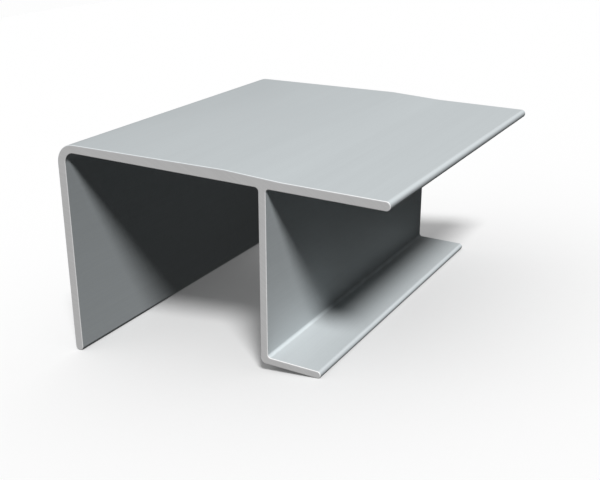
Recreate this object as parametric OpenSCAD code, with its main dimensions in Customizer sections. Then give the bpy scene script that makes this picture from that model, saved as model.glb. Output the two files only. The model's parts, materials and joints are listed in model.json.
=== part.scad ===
// Extruded angle profile: a wide plate with a long leg down from one edge and a web with a
// turned-out foot under it. The section is drawn with x across the plate, from the leg's outer
// face, and y up from the plate's underside. It runs along the length, and the finished piece
// lies as it rests: on the leg's rounded end and on the tip of the foot.

/* [Length] */
// Length of the cut piece
length = 100; // [20:1:6000]

/* [Plate] */
// Width of the plate, from the leg's outer face to the tip of the nose
plate_w = 100; // [80:1:160]
// Thickness of the plate at its free edge
plate_t = 2.4; // [1.5:0.1:3]
// Thickness of the plate at the heel, where the outer corner's round ends
heel_t = 2.4; // [1.5:0.1:3]
// Thickness of the plate at its crown
crown_t = 3.1; // [3:0.1:5]
// Distance from the crown to the web's near face
crown_lead = 9.9; // [2:0.1:25]
// Width of the slope that falls from the crown to the free edge's thickness
crown_fall = 16.3; // [4:0.1:30]

/* [Leg] */
// Drop of the leg's end below the plate's underside
leg_drop = 61.1; // [50:0.1:90]
// Thickness of the leg
leg_t = 2.7; // [1.5:0.1:4]
// Outer radius of the corner between the leg and the plate
corner_r = 5.9; // [5:0.1:12]

/* [Web] */
// Distance from the leg's outer face to the web's near face
web_x = 65; // [45:0.5:80]
// Thickness of the web
web_t = 2.1; // [1.5:0.1:4]
// Radius of the two fillets between the web and the plate
root_r = 1; // [0.4:0.1:3]

/* [Foot] */
// Drop of the foot's underside below the plate's underside
foot_drop = 47.7; // [25:0.1:58]
// Thickness of the foot
foot_t = 2; // [1.5:0.1:4]
// Reach of the foot's tip from the web's near face
foot_reach = 17.6; // [8:0.1:30]
// Radius of the fillet inside the bend between the web and the foot
bend_inner_r = 0.9; // [0.4:0.1:3]
// Radius of the round outside the bend between the web and the foot
bend_outer_r = 1.4; // [0.4:0.1:1.9]

/* [Hidden] */
$fn = 64;

// Each free edge is a full round, with a radius of half its wall.
nose_r = plate_t / 2;
leg_end_r = leg_t / 2;
foot_tip_r = foot_t / 2;
nose_at = [plate_w - nose_r, nose_r];
leg_end_at = [leg_end_r, leg_end_r - leg_drop];
foot_tip_at = [web_x + foot_reach - foot_tip_r, foot_tip_r - foot_drop];

// The top rises from the heel to the crown, then falls to the free edge's thickness.
crown_x = web_x - crown_lead;
fall_end_x = crown_x + crown_fall;

// The rest angle lays the line that touches both lower rounds level.
rest_run = foot_tip_at - leg_end_at;
rest_angle = atan2(rest_run[1], rest_run[0]) + asin((leg_end_r - foot_tip_r) / norm(rest_run));

// A point of the section, across and up, once the section is turned by the rest angle.
function rested(p) = [
    p[0] * cos(rest_angle) + p[1] * sin(rest_angle),
    p[1] * cos(rest_angle) - p[0] * sin(rest_angle)
];

// The turned section's left end, right end and lowest line.
rest_left = rested(leg_end_at)[0] - leg_end_r;
rest_right = rested(nose_at)[0] + nose_r;
rest_floor = rested(leg_end_at)[1] - leg_end_r;

// The space between a square corner at the origin and the arc that touches both its sides.
module corner_gap(r) {
    difference() {
        square(r);
        translate([r, r]) circle(r);
    }
}

// The plate: flat below, crowned above, with a rounded nose.
module plate_shape() {
    polygon([
        [0, 0],
        [nose_at[0], 0],
        [nose_at[0], plate_t],
        [fall_end_x, plate_t],
        [crown_x, crown_t],
        [corner_r, heel_t],
        [0, heel_t]
    ]);
    translate(nose_at) circle(nose_r);
}

// The leg: one even wall with a rounded end.
module leg_shape() {
    translate([0, leg_end_at[1]]) square([leg_t, -leg_end_at[1]]);
    translate(leg_end_at) circle(leg_end_r);
}

// The web and the foot that turns out from its lower end, with the bend rounded outside.
module web_and_foot_shape() {
    difference() {
        union() {
            translate([web_x, -foot_drop]) square([web_t, foot_drop]);
            translate([web_x, -foot_drop]) square([foot_reach - foot_tip_r, foot_t]);
            translate(foot_tip_at) circle(foot_tip_r);
        }
        translate([web_x, -foot_drop]) corner_gap(bend_outer_r);
    }
}

// The four inside corners: under the heel, both sides of the web's root, and over the foot.
module inner_fillets() {
    translate([leg_t, 0]) mirror([0, 1]) corner_gap(corner_r - leg_t);
    translate([web_x, 0]) rotate(180) corner_gap(root_r);
    translate([web_x + web_t, 0]) mirror([0, 1]) corner_gap(root_r);
    translate([web_x + web_t, foot_t - foot_drop]) corner_gap(bend_inner_r);
}

// The whole section, with the outer corner rounded off between the leg and the plate.
module section() {
    difference() {
        union() {
            plate_shape();
            leg_shape();
            web_and_foot_shape();
            inner_fillets();
        }
        translate([0, heel_t]) mirror([0, 1]) corner_gap(corner_r);
    }
}

// The cut piece at rest, centred over the origin with its lowest line on the floor.
module angle_profile() {
    color([0.76, 0.79, 0.80])
    translate([-(rest_left + rest_right) / 2, 0, -rest_floor])
    rotate([0, rest_angle, 0])
    rotate([90, 0, 0])
    linear_extrude(length, center = true)
    section();
}

angle_profile();
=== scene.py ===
# A cut length of extruded aluminium angle profile with a satin anodised skin, at rest on a pale floor.
import bpy
import json
import math
from mathutils import Matrix, Vector


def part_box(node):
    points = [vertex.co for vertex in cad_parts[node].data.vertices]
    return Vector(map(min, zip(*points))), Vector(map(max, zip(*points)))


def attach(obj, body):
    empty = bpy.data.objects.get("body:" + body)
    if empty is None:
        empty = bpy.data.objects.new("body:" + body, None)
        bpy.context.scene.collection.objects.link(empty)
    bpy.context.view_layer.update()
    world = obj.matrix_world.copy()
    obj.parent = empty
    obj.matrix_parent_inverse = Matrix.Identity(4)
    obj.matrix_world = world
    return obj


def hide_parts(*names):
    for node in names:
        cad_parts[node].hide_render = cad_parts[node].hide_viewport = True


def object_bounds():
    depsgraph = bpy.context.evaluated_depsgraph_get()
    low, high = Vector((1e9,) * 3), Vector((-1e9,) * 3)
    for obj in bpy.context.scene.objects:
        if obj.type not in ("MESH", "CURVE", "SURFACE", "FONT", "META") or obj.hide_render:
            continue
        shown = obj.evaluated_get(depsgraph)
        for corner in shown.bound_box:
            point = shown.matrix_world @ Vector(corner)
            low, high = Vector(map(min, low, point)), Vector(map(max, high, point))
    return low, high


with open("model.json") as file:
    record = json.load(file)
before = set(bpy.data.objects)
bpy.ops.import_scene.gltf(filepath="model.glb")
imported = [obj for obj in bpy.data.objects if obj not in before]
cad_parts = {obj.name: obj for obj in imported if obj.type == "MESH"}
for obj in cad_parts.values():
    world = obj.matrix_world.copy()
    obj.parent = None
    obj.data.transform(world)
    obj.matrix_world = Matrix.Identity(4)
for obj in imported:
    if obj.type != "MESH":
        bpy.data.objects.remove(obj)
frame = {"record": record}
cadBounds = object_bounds()
mm = 0.001
nodeName = "angle_profile"
mounts = {mount["name"]: mount for mount in frame["record"]["mounts"]}
plateUp = mounts["plate_top_face"]["axis"]
restAngle = math.atan2(plateUp[0], plateUp[2])  # how far the profile leans over its foot
leanTurn = Matrix.Rotation(restAngle, 3, "Y")  # takes a place on the upright section to its rest
print("frame loaded")


class Wire:
    # A socket of a node tree: sums on it add Math nodes, and add() makes any other node.
    def __init__(self, tree, socket=None):
        self.tree = tree
        self.socket = socket

    def join(self, slot, value):
        if isinstance(value, Wire):
            self.tree.links.new(value.socket, slot)
        else:
            slot.default_value = value

    def add(self, kind, settings=None, sockets=None):
        made = self.tree.nodes.new(kind)
        for name, value in (settings or {}).items():
            if name == "choices":  # an Index Switch grows one socket at a time
                for extra in range(value - len(made.index_switch_items)):
                    made.index_switch_items.new()
            else:
                setattr(made, name, value)
        for name, value in (sockets or {}).items():
            for each in value if isinstance(value, list) else [value]:
                self.join(made.inputs[name], each)
        return Wire(self.tree, next((socket for socket in made.outputs if socket.enabled), None))

    def out(self, name):
        return Wire(self.tree, self.socket.node.outputs[name])

    def math(self, operation, *values):
        return self.add("ShaderNodeMath", {"operation": operation}, dict(enumerate(values)))

    def vector(self, operation, *values):
        return self.add("ShaderNodeVectorMath", {"operation": operation}, dict(enumerate(values)))

    def scaled(self, factor):
        made = self.vector("SCALE", self)
        made.join(made.socket.node.inputs["Scale"], factor)
        return made

    def blend(self, factor, first, second):
        return self.add("ShaderNodeMix", {"data_type": "RGBA"}, {"Factor": factor, 6: first, 7: second})

    def noise(self, place, detail=2.0):  # swings about zero, one bump to each step of the place
        sockets = {"Vector": place, "Scale": 1.0, "Detail": detail}
        return self.add("ShaderNodeTexNoise", None, sockets) - 0.5

    def mark(self, name):  # a number that the shape carries at each of its points
        return self.add("ShaderNodeAttribute", {"attribute_name": name}).out("Fac")

    def stored(self, geometry, kind, name, value):
        return self.add("GeometryNodeStoreNamedAttribute", {"data_type": kind, "domain": "POINT"}, {
            "Geometry": geometry, "Name": name, "Value": value,
        })

    def named(self, kind, name):
        return self.add("GeometryNodeInputNamedAttribute", {"data_type": kind}, {"Name": name})

    def __add__(self, other):
        return self.math("ADD", self, other)

    def __radd__(self, other):
        return self.math("ADD", other, self)

    def __sub__(self, other):
        return self.math("SUBTRACT", self, other)

    def __rsub__(self, other):
        return self.math("SUBTRACT", other, self)

    def __mul__(self, other):
        return self.math("MULTIPLY", self, other)

    def __rmul__(self, other):
        return self.math("MULTIPLY", other, self)

    def __truediv__(self, other):
        return self.math("DIVIDE", self, other)

    def __rtruediv__(self, other):
        return self.math("DIVIDE", other, self)

    def __neg__(self):
        return self.math("MULTIPLY", self, -1.0)


def newMaterial(name):
    material = bpy.data.materials.new(name)
    material.use_nodes = True
    tree = material.node_tree
    tree.nodes.clear()
    return material, Wire(tree), tree.nodes.new("ShaderNodeOutputMaterial")


# Where a point of the piece is on its upright section: across, along and up, in metres.
def sectionPlace(wire):
    place = wire.add("ShaderNodeTexCoord").out("Object")
    return wire.add("ShaderNodeMapping", None, {"Vector": place, "Rotation": (0, -restAngle, 0)})


# A pattern's coordinates, with one step of it for each given length across, along and up.
def inSteps(place, across, along, up):
    return place.vector("DIVIDE", place, (across, along, up))


skinLook = {
    "colour": (0.546, 0.585, 0.6, 1),
    "crestHighlightColour": (0.722, 0.778, 0.8, 1),  # a painted highlight on the small rounds
    "grainSize": 0.22 * mm,
    "grainDepth": 0.010 * mm,
    "dieLineSize": 0.45 * mm,
    "dieLineLength": 60 * mm,
    "dieLineDepth": 0.006 * mm,
    "cloudSize": 18 * mm,
    "cloudLength": 54 * mm,
    "dieLineTone": 0.09,  # how far each moves the colour, as a share of it
    "grainTone": 0.09,
    "cloudTone": 0.012,
    "roughness": 0.45,
    "roughnessSwing": 0.12,
    "crestPolish": 0.08,
    "metallic": 0.0,
    "specular": 0.3,
}


# Matt etched and anodised: fine even grain, faint die lines along the length, soft clouds in the tone.
def makeSkin():
    look = skinLook
    material, wire, output = newMaterial("anodisedSkin")
    place = sectionPlace(wire)
    dieLine = look["dieLineSize"]
    fine = look["grainSize"]
    cloud = look["cloudSize"]
    dieLines = wire.noise(inSteps(place, dieLine, look["dieLineLength"], dieLine), detail=3.0)
    grain = wire.noise(inSteps(place, fine, fine, fine), detail=1.0)
    clouds = wire.noise(inSteps(place, cloud, look["cloudLength"], cloud))
    # The crests of the small rounds and the broken cut edges take a painted highlight, and less
    # roughness.
    turned = wire.mark("turned")
    plain = wire.blend(turned, look["colour"], look["crestHighlightColour"])
    tone = 1 + dieLines * look["dieLineTone"] + grain * look["grainTone"] + clouds * look["cloudTone"]
    uneven = (clouds + dieLines) * look["roughnessSwing"]
    height = dieLines * look["dieLineDepth"] + grain * look["grainDepth"]
    wire.join(output.inputs["Surface"], wire.add("ShaderNodeBsdfPrincipled", None, {
        "Base Color": plain.scaled(tone),
        "Metallic": look["metallic"],
        "Roughness": look["roughness"] + uneven - turned * look["crestPolish"],
        "Specular IOR Level": look["specular"],
        "Normal": wire.add("ShaderNodeBump", None, {"Height": height, "Distance": 1.0}),
    }))
    return material


cutLook = {
    "colour": (0.648, 0.648, 0.648, 1),
    "edgeHighlightColour": (0.97, 0.97, 0.97, 1),  # a painted highlight: the thin bright line where the cut edge is broken
    "sawCentre": (-90 * mm, 0, -120 * mm),  # what the saw's arcs go round, on the upright section
    "toothMark": 0.28 * mm,
    "markRun": 14 * mm,
    "grainSize": 0.12 * mm,
    "markDepth": 0.008 * mm,
    "grainDepth": 0.004 * mm,
    "markTone": 0.12,  # how far each moves the colour, as a share of it
    "grainTone": 0.072,
    "roughness": 0.5,
    "roughnessSwing": 0.35,
    "edgePolish": 0.1,
    "metallic": 0.0,
    "specular": 0.3,
}


# Bare sawn metal: shallow arcs left by the saw's teeth, over a fine torn grain.
def makeCutMetal():
    look = cutLook
    material, wire, output = newMaterial("sawnMetal")
    place = sectionPlace(wire)
    fromSaw = wire.vector("SUBTRACT", place, look["sawCentre"])
    onSection = wire.vector("MULTIPLY", fromSaw, (1, 0, 1))
    radius = wire.vector("LENGTH", onSection).out("Value")
    apart = wire.add("ShaderNodeSeparateXYZ", None, {"Vector": place})
    arcs = wire.add("ShaderNodeCombineXYZ", None, {
        "X": radius / look["toothMark"],
        "Y": apart.out("X") / look["markRun"],
        "Z": apart.out("Y") / look["markRun"],
    })
    sawMarks = wire.noise(arcs, detail=1.0)
    fine = look["grainSize"]
    grain = wire.noise(inSteps(place, fine, fine, fine), detail=1.0)
    # A painted highlight on the broken edges, mixed from the skin's tinted highlight and a white one.
    turned = wire.mark("turned")
    brokenEdgeHighlight = wire.blend(wire.mark("bare"), skinLook["crestHighlightColour"], look["edgeHighlightColour"])
    plain = wire.blend(turned, look["colour"], brokenEdgeHighlight)
    tone = 1 + sawMarks * look["markTone"] + grain * look["grainTone"]
    height = sawMarks * look["markDepth"] + grain * look["grainDepth"]
    wire.join(output.inputs["Surface"], wire.add("ShaderNodeBsdfPrincipled", None, {
        "Base Color": plain.scaled(tone),
        "Metallic": look["metallic"],
        "Roughness": look["roughness"] + sawMarks * look["roughnessSwing"] - turned * look["edgePolish"],
        "Specular IOR Level": look["specular"],
        "Normal": wire.add("ShaderNodeBump", None, {"Height": height, "Distance": 1.0}),
    }))
    return material


profileSizes = {  # metres and radians, and the sizes of the section as they are in the model
    "Length": cadBounds[1].y - cadBounds[0].y,
    "Plate Width": 100 * mm,
    "Plate Thickness": 2.4 * mm,
    "Heel Thickness": 2.4 * mm,
    "Crown Thickness": 3.1 * mm,
    "Crown Lead": 9.9 * mm,
    "Crown Fall": 16.3 * mm,
    "Crown Softness": 16 * mm,  # the radius that eases the top's two slight bends
    "Leg Drop": 61.1 * mm,
    "Leg Thickness": 2.7 * mm,
    "Corner Radius": 5.9 * mm,
    "Web Position": 65 * mm,
    "Web Thickness": 2.1 * mm,
    "Root Radius": 1 * mm,
    "Foot Drop": 47.7 * mm,
    "Foot Thickness": 2 * mm,
    "Foot Reach": 17.6 * mm,
    "Bend Inner Radius": 0.9 * mm,
    "Bend Outer Radius": 1.4 * mm,
    "Tip Share": 0.49,  # of a wall, for the round of a free edge, so that a hair of flat is left
    "Edge Break": 0.2 * mm,  # at the cut ends
    "Rest Angle": restAngle,
    "Round Steps": 14,
    "Break Steps": 4,
}


# The section's corners, going round clockwise from the leg's lower outer corner. Each has its place
# across and up, its radius, how far the shading turns with the way round where the round starts and
# ends, in degrees, how strong the painted highlight on the crest of its round is, and how far the
# painted highlight on its edge at the cuts goes from the skin's tint to white.
def sectionCorners(size):
    crownAt = size["Web Position"] - size["Crown Lead"]
    crownEnd = crownAt + size["Crown Fall"]
    heelRise = (size["Crown Thickness"] - size["Heel Thickness"]) / (crownAt - size["Corner Radius"])
    heelTop = size["Heel Thickness"] - heelRise * size["Corner Radius"]
    legFoot = -size["Leg Drop"]
    webFar = size["Web Position"] + size["Web Thickness"]
    footTop = size["Foot Thickness"] - size["Foot Drop"]
    footUnder = -size["Foot Drop"]
    footTip = size["Web Position"] + size["Foot Reach"]
    legTip = size["Leg Thickness"] * size["Tip Share"]
    noseTip = size["Plate Thickness"] * size["Tip Share"]
    toeTip = size["Foot Thickness"] * size["Tip Share"]
    innerHeel = size["Corner Radius"] - size["Leg Thickness"]
    return [
        (0, legFoot, legTip, 0, -11, 0.7, 1),  # leg end, outside
        (0, heelTop, size["Corner Radius"], 11, -9, 0.15, 0.1),  # heel, outside
        (crownAt, size["Crown Thickness"], size["Crown Softness"], -2, -4.6, 0, 0.1),  # top of the crown
        (crownEnd, size["Plate Thickness"], size["Crown Softness"], 0, 0, 0, 0.3),  # foot of the crown
        (size["Plate Width"], size["Plate Thickness"], noseTip, 2, 6, 0.75, 0.8),  # free edge, above
        (size["Plate Width"], 0, noseTip, 6, 0, 0.75, 1),  # free edge, below
        (webFar, 0, size["Root Radius"], 0, 8.2, 0.4, 1),  # web root, foot side
        (webFar, footTop, size["Bend Inner Radius"], 4.4, 14, 1, 1),  # bend, inside
        (footTip, footTop, toeTip, -4, 0, 0.6, 1),  # foot tip, above
        (footTip, footUnder, toeTip, 0, 0, 0.6, 1),  # foot tip, below
        (size["Web Position"], footUnder, size["Bend Outer Radius"], 0, 0, 0.7, 1),  # bend, outside
        (size["Web Position"], 0, size["Root Radius"], -11, 11, 0.4, 1),  # web root, leg side
        (size["Leg Thickness"], 0, innerHeel, -11, 11, 0.2, 1),  # heel, inside
        (size["Leg Thickness"], legFoot, legTip, 8, 0, 0.7, 1),  # leg end, inside
    ]


# The section's outline, flat in XY: a loop of corner points that are then rounded. Each of its points
# keeps which way is outward, which way it is shaded, how strong its painted highlight is and how white
# the painted highlight on its cut edge is.
def drawOutline(wire, size):
    corners = sectionCorners(size)
    index = wire.add("GeometryNodeInputIndex")

    def byCorner(values):
        settings = {"data_type": "FLOAT", "choices": len(corners)}
        sockets = {"Index": index, **{str(number): value for number, value in enumerate(values)}}
        return wire.add("GeometryNodeIndexSwitch", settings, sockets)

    across, up, *kept = zip(*corners)
    place = wire.add("ShaderNodeCombineXYZ", None, {"X": byCorner(across), "Y": byCorner(up)})
    points = wire.add("GeometryNodePoints", None, {"Count": len(corners), "Position": place})
    for name, values in zip(("radius", "leanIn", "leanOut", "rubbed", "bared"), kept):
        points = wire.stored(points, "FLOAT", name, byCorner(values))
    path = wire.add("GeometryNodePointsToCurves", None, {"Points": points, "Weight": index})
    loop = wire.add("GeometryNodeSetSplineCyclic", None, {"Geometry": path, "Cyclic": True})
    outline = wire.add("GeometryNodeFilletCurve", {"mode": "POLY"}, {
        "Curve": loop,
        "Count": size["Round Steps"],
        "Radius": wire.named("FLOAT", "radius"),
        "Limit Radius": True,
    })
    total = wire.add("GeometryNodeAttributeDomainSize", {"component": "CURVE"}, {"Geometry": outline})
    position = wire.add("GeometryNodeInputPosition")

    def neighbour(step):
        return wire.add("GeometryNodeFieldAtIndex", {"data_type": "FLOAT_VECTOR", "domain": "POINT"}, {
            "Value": position,
            "Index": wire.math("FLOORED_MODULO", index + step, total),
        })

    # Outward is square to the line between a point's neighbours. The shading turns a little from it
    # towards each round, as on a smooth-shaded bar, so that no face is quite even in tone.
    wayRound = wire.vector("NORMALIZE", wire.vector("SUBTRACT", neighbour(1), neighbour(-1)))
    outward = wire.vector("CROSS_PRODUCT", (0, 0, 1), wayRound)
    throughRound = wire.math("FLOORED_MODULO", index, size["Round Steps"] + 1) / size["Round Steps"]
    leanIn = wire.named("FLOAT", "leanIn") * (1 - throughRound)
    leanOut = wire.named("FLOAT", "leanOut") * throughRound
    lean = wire.math("RADIANS", leanIn + leanOut)
    straight = outward.scaled(wire.math("COSINE", lean))
    shading = wire.vector("ADD", straight, wayRound.scaled(wire.math("SINE", lean)))
    crest = wire.math("SINE", throughRound * math.pi) * wire.named("FLOAT", "rubbed")
    outline = wire.stored(outline, "FLOAT", "crest", crest)
    outline = wire.stored(outline, "FLOAT_VECTOR", "shading", shading)
    return wire.stored(outline, "FLOAT_VECTOR", "outward", outward), total


# The walls are a grid: a column for each point of the outline, and rows along the piece, which draw in
# over a quarter turn at each cut end to break its edge.
def drawWalls(wire, size, outline, total):
    rows = (size["Break Steps"] + 1) * 2
    grid = wire.add("GeometryNodeMeshGrid", None, {"Vertices X": total + 1, "Vertices Y": rows})
    index = wire.add("GeometryNodeInputIndex")
    column = wire.math("FLOOR", (index + 0.5) / rows)
    row = index - column * rows

    def onOutline(kind, value):
        return wire.add("GeometryNodeSampleIndex", {"data_type": kind, "domain": "POINT"}, {
            "Geometry": outline,
            "Value": value,
            "Index": wire.math("FLOORED_MODULO", column, total),
        })

    toEnd = wire.math("MINIMUM", row, rows - 1 - row)
    turn = (toEnd / size["Break Steps"]) * (math.pi / 2)
    outTurn = wire.math("SINE", turn)
    endTurn = wire.math("COSINE", turn)
    endSide = wire.math("LESS_THAN", row, rows / 2) * 2 - 1
    reach = size["Length"] / 2 - (1 - endTurn) * size["Edge Break"]
    place = onOutline("FLOAT_VECTOR", wire.add("GeometryNodeInputPosition"))
    outward = onOutline("FLOAT_VECTOR", wire.named("FLOAT_VECTOR", "outward"))
    drawnIn = wire.vector("ADD", place, outward.scaled((outTurn - 1) * size["Edge Break"]))
    walls = wire.add("GeometryNodeSetPosition", None, {
        "Geometry": grid,
        "Position": wire.vector("ADD", drawnIn, lengthwise(wire, reach * endSide)),
    })
    sideways = onOutline("FLOAT_VECTOR", wire.named("FLOAT_VECTOR", "shading")).scaled(outTurn)
    facing = wire.vector("ADD", sideways, lengthwise(wire, endTurn * endSide))
    walls = wire.stored(walls, "FLOAT_VECTOR", "facing", facing)

    # A painted highlight: bright at the crests of the section's rounds, and brightest on the broken
    # edges of the cuts.
    crest = onOutline("FLOAT", wire.named("FLOAT", "crest")) * outTurn
    turned = wire.math("MAXIMUM", crest, wire.math("SINE", turn * 2))
    walls = wire.stored(walls, "FLOAT", "turned", turned)
    # The bare share sets how white the painted highlight on the broken edges is.
    return wire.stored(walls, "FLOAT", "bare", onOutline("FLOAT", wire.named("FLOAT", "bared")))


def lengthwise(wire, distance):
    return wire.add("ShaderNodeCombineXYZ", None, {"Z": distance})


# The cut faces fill the drawn-in outline, one at each end.
def drawCuts(wire, size, outline):
    inset = wire.add("GeometryNodeSetPosition", None, {
        "Geometry": outline,
        "Offset": wire.named("FLOAT_VECTOR", "outward").scaled(-size["Edge Break"]),
    })
    filled = wire.add("GeometryNodeFillCurve", {"mode": "TRIANGLES"}, {"Curve": inset})
    turnedOver = wire.add("GeometryNodeFlipFaces", None, {"Mesh": filled})
    cuts = []
    for side, face in ((1, filled), (-1, turnedOver)):
        atEnd = wire.add("GeometryNodeTransform", None, {
            "Geometry": face,
            "Translation": lengthwise(wire, size["Length"] * (side / 2)),
        })
        cuts.append(wire.stored(atEnd, "FLOAT_VECTOR", "facing", (0, 0, side)))
    return cuts


# Stood up, leant to its rest, and set down on the middle of its place on the floor.
def setDown(wire, size, geometry):
    restTurn = wire.add("ShaderNodeCombineXYZ", None, {"X": math.pi / 2, "Y": size["Rest Angle"]})
    leant = wire.add("GeometryNodeTransform", None, {"Geometry": geometry, "Rotation": restTurn})
    box = wire.add("GeometryNodeBoundBox", None, {"Geometry": leant})
    corners = wire.vector("ADD", box.out("Min"), box.out("Max"))
    middle = wire.vector("MULTIPLY", corners, (0.5, 0.5, 0))
    lowest = wire.vector("MULTIPLY", box.out("Min"), (0, 0, 1))
    under = wire.vector("ADD", middle, lowest)
    return wire.add("GeometryNodeTransform", None, {
        "Geometry": leant,
        "Translation": wire.vector("SUBTRACT", size["Floor Centre"], under),
    })


seamGap = 0.005 * mm  # the walls and the cut faces are joined where they lie this close


def makeProfileTree(skin, sawnMetal):
    tree = bpy.data.node_groups.new("extrudedProfile", "GeometryNodeTree")
    for name, value in profileSizes.items():
        kind = "NodeSocketInt" if isinstance(value, int) else "NodeSocketFloat"
        tree.interface.new_socket(name=name, in_out="INPUT", socket_type=kind)
    tree.interface.new_socket(name="Floor Centre", in_out="INPUT", socket_type="NodeSocketVector")
    tree.interface.new_socket(name="Geometry", in_out="OUTPUT", socket_type="NodeSocketGeometry")
    wire = Wire(tree)
    inputs = wire.add("NodeGroupInput")
    size = {name: inputs.out(name) for name in [*profileSizes, "Floor Centre"]}

    outline, total = drawOutline(wire, size)
    parts = [drawWalls(wire, size, outline, total)] + drawCuts(wire, size, outline)
    joined = wire.add("GeometryNodeJoinGeometry", None, {"Geometry": parts})
    merged = wire.add("GeometryNodeMergeByDistance", None, {"Geometry": joined, "Distance": seamGap})
    smooth = wire.add("GeometryNodeSetShadeSmooth", None, {"Geometry": merged})
    shaded = wire.add("GeometryNodeSetMeshNormal", {"mode": "FREE", "domain": "POINT"}, {
        "Mesh": smooth,
        "Custom Normal": wire.named("FLOAT_VECTOR", "facing"),
    })
    seated = setDown(wire, size, shaded)
    real = wire.add("GeometryNodeRealizeInstances", None, {"Geometry": seated})

    # Skin all over, then bare metal on the cut faces and their broken edges.
    position = wire.add("GeometryNodeInputPosition")
    fromMiddle = wire.vector("SUBTRACT", position, size["Floor Centre"])
    along = wire.add("ShaderNodeSeparateXYZ", None, {"Vector": fromMiddle}).out("Y")
    breakStart = size["Length"] / 2 - size["Edge Break"]
    skinned = wire.add("GeometryNodeSetMaterial", None, {"Geometry": real, "Material": skin})
    cut = wire.add("GeometryNodeSetMaterial", None, {
        "Geometry": skinned,
        "Material": sawnMetal,
        "Selection": wire.math("GREATER_THAN", wire.math("ABSOLUTE", along), breakStart),
    })
    finished = tree.nodes.new("NodeGroupOutput")
    wire.join(finished.inputs["Geometry"], cut)
    return tree


def makeProfile():
    tree = makeProfileTree(makeSkin(), makeCutMetal())
    low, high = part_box(nodeName)
    values = {**profileSizes, "Floor Centre": ((low.x + high.x) / 2, (low.y + high.y) / 2, low.z)}
    seed = bpy.data.objects.new("profileSeed", bpy.data.meshes.new("profileSeed"))
    bpy.context.scene.collection.objects.link(seed)
    modifier = seed.modifiers.new("extrudedProfile", "NODES")
    modifier.node_group = tree
    for item in tree.interface.items_tree:
        if item.in_out == "INPUT":
            modifier[item.identifier] = values[item.name]
    shape = seed.evaluated_get(bpy.context.evaluated_depsgraph_get())
    mesh = bpy.data.meshes.new_from_object(shape)
    mesh.materials.pop(index=0)  # the seed mesh's empty slot
    bpy.data.objects.remove(seed)
    profile = bpy.data.objects.new("extrudedAngleProfile", mesh)
    bpy.context.scene.collection.objects.link(profile)
    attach(profile, "root")
    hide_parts(nodeName)
    return profile


studio = {
    "sunTravel": (-0.398, 0.477, -0.784),  # on the upright section
    "sunStrength": 3.64,
    "sunSize": math.radians(12),
    "floorColour": (0.638, 0.638, 0.638, 1),
    "floorGlow": 0.356,  # what a wide even sky would add to it
    "glowInShade": (0.14, 0.14, 0.14, 1),  # how much of that is left right under the profile
    "shadeReach": 0.3,
    "floorHalf": 6,
    "backdrop": 0.985,
    "softLights": [  # where each one is, how tightly it is gathered, and its strength
        ((-0.85, 0, 0.53), 4, 0.55),
        ((0, 0.85, 0.53), 4, 0.3),
        ((0, -0.85, 0.53), 4, 0.17),
        ((0, 0, -1), 4, 0.147),
    ],
}


# The floor glows a little, as painted light from a wide even sky, with painted shade where the profile
# closes it in.
def makeFloor():
    material, wire, output = newMaterial("paleFloor")
    openness = wire.add("ShaderNodeAmbientOcclusion", None, {"Distance": studio["shadeReach"]}).out("AO")
    wire.join(output.inputs["Surface"], wire.add("ShaderNodeBsdfPrincipled", None, {
        "Base Color": studio["floorColour"],
        "Roughness": 1.0,
        "Specular IOR Level": 0.0,
        "Emission Color": wire.blend(openness, studio["glowInShade"], (1, 1, 1, 1)),
        "Emission Strength": studio["floorGlow"],
    }))
    half = studio["floorHalf"]
    corners = [(-half, -half, 0), (half, -half, 0), (half, half, 0), (-half, half, 0)]
    mesh = bpy.data.meshes.new("floor")
    mesh.from_pydata(corners, [], [(0, 1, 2, 3)])
    mesh.materials.append(material)
    floor = bpy.data.objects.new("floor", mesh)
    bpy.context.scene.collection.objects.link(floor)
    floor.visible_diffuse = False  # the light from below passes it, as if the floor gave it back
    floor.visible_glossy = False
    floor.visible_shadow = False


def makeSun():
    lamp = bpy.data.lights.new("sun", "SUN")
    lamp.energy = studio["sunStrength"]
    lamp.angle = studio["sunSize"]
    sun = bpy.data.objects.new("sun", lamp)
    travel = leanTurn @ Vector(studio["sunTravel"])
    sun.rotation_mode = "QUATERNION"
    sun.rotation_quaternion = travel.to_track_quat("-Z", "Y")
    bpy.context.scene.collection.objects.link(sun)


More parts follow.
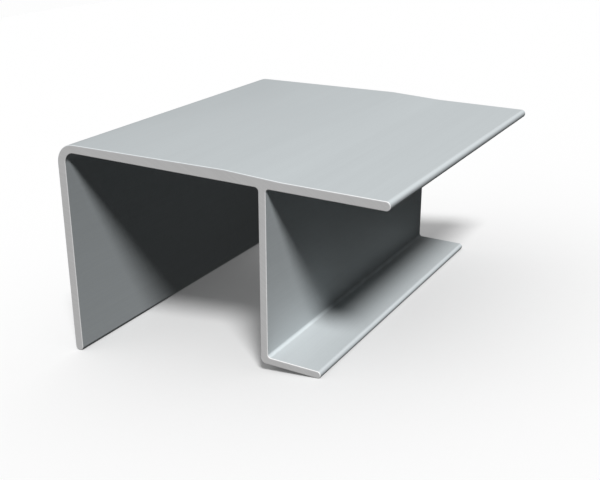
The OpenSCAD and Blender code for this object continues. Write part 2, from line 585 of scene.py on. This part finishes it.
# Soft lights all round, seen only by the profile and the floor. The camera sees an even white.
def makeWorld():
    world = bpy.data.worlds.new("studio")
    world.use_nodes = True
    tree = world.node_tree
    tree.nodes.clear()
    wire = Wire(tree)
    output = tree.nodes.new("ShaderNodeOutputWorld")
    direction = wire.add("ShaderNodeTexCoord").out("Generated")
    level = 0
    for towards, gather, strength in studio["softLights"]:
        facing = wire.vector("DOT_PRODUCT", direction, Vector(towards).normalized()).out("Value")
        level = level + wire.math("POWER", wire.math("MAXIMUM", facing, 0), gather) * strength
    white = (1, 1, 1, 1)
    lit = wire.add("ShaderNodeBackground", None, {"Color": white, "Strength": level})
    seen = wire.add("ShaderNodeBackground", None, {"Color": white, "Strength": studio["backdrop"]})
    toCamera = wire.add("ShaderNodeLightPath").out("Is Camera Ray")
    mixed = wire.add("ShaderNodeMixShader", None, {0: toCamera, 1: lit, 2: seen})
    wire.join(output.inputs["Surface"], mixed)
    bpy.context.scene.world = world
    bpy.context.scene.view_settings.view_transform = "Standard"


cameraPlace = {  # on the upright section: across, along from the front cut, and up
    "aim": (59.97 * mm, 29.24 * mm, -24.49 * mm),
    "azimuth": math.radians(29.8),
    "elevation": math.radians(21.58),
    "distance": 258.0 * mm,
    "lens": 55.53,
    "sensor": 36,
    "nearest": 10 * mm,
}


def makeCamera():
    azimuth, elevation = cameraPlace["azimuth"], cameraPlace["elevation"]
    level = math.cos(elevation)
    back = Vector((math.sin(azimuth) * level, -math.cos(azimuth) * level, math.sin(elevation)))
    data = bpy.data.cameras.new("camera")
    data.lens = cameraPlace["lens"]
    data.sensor_width = cameraPlace["sensor"]
    data.clip_start = cameraPlace["nearest"]
    camera = bpy.data.objects.new("camera", data)
    camera.rotation_mode = "QUATERNION"
    camera.rotation_quaternion = leanTurn.to_quaternion() @ (-back).to_track_quat("-Z", "Y")

    # The leg's lowest line touches the floor, which gives the place of the section's origin.
    low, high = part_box(nodeName)
    legRound = profileSizes["Leg Thickness"] / 2
    legEnd = leanTurn @ Vector((legRound, 0, legRound - profileSizes["Leg Drop"]))
    origin = Vector((low.x + legRound - legEnd.x, low.y, low.z + legRound - legEnd.z))
    camera.location = origin + leanTurn @ (Vector(cameraPlace["aim"]) + back * cameraPlace["distance"])
    bpy.context.scene.collection.objects.link(camera)
    bpy.context.scene.camera = camera


profile = makeProfile()
print("profile made:", len(profile.data.polygons), "faces")
makeCamera()
print("camera placed")
makeFloor()
makeSun()
makeWorld()
print("studio lit")
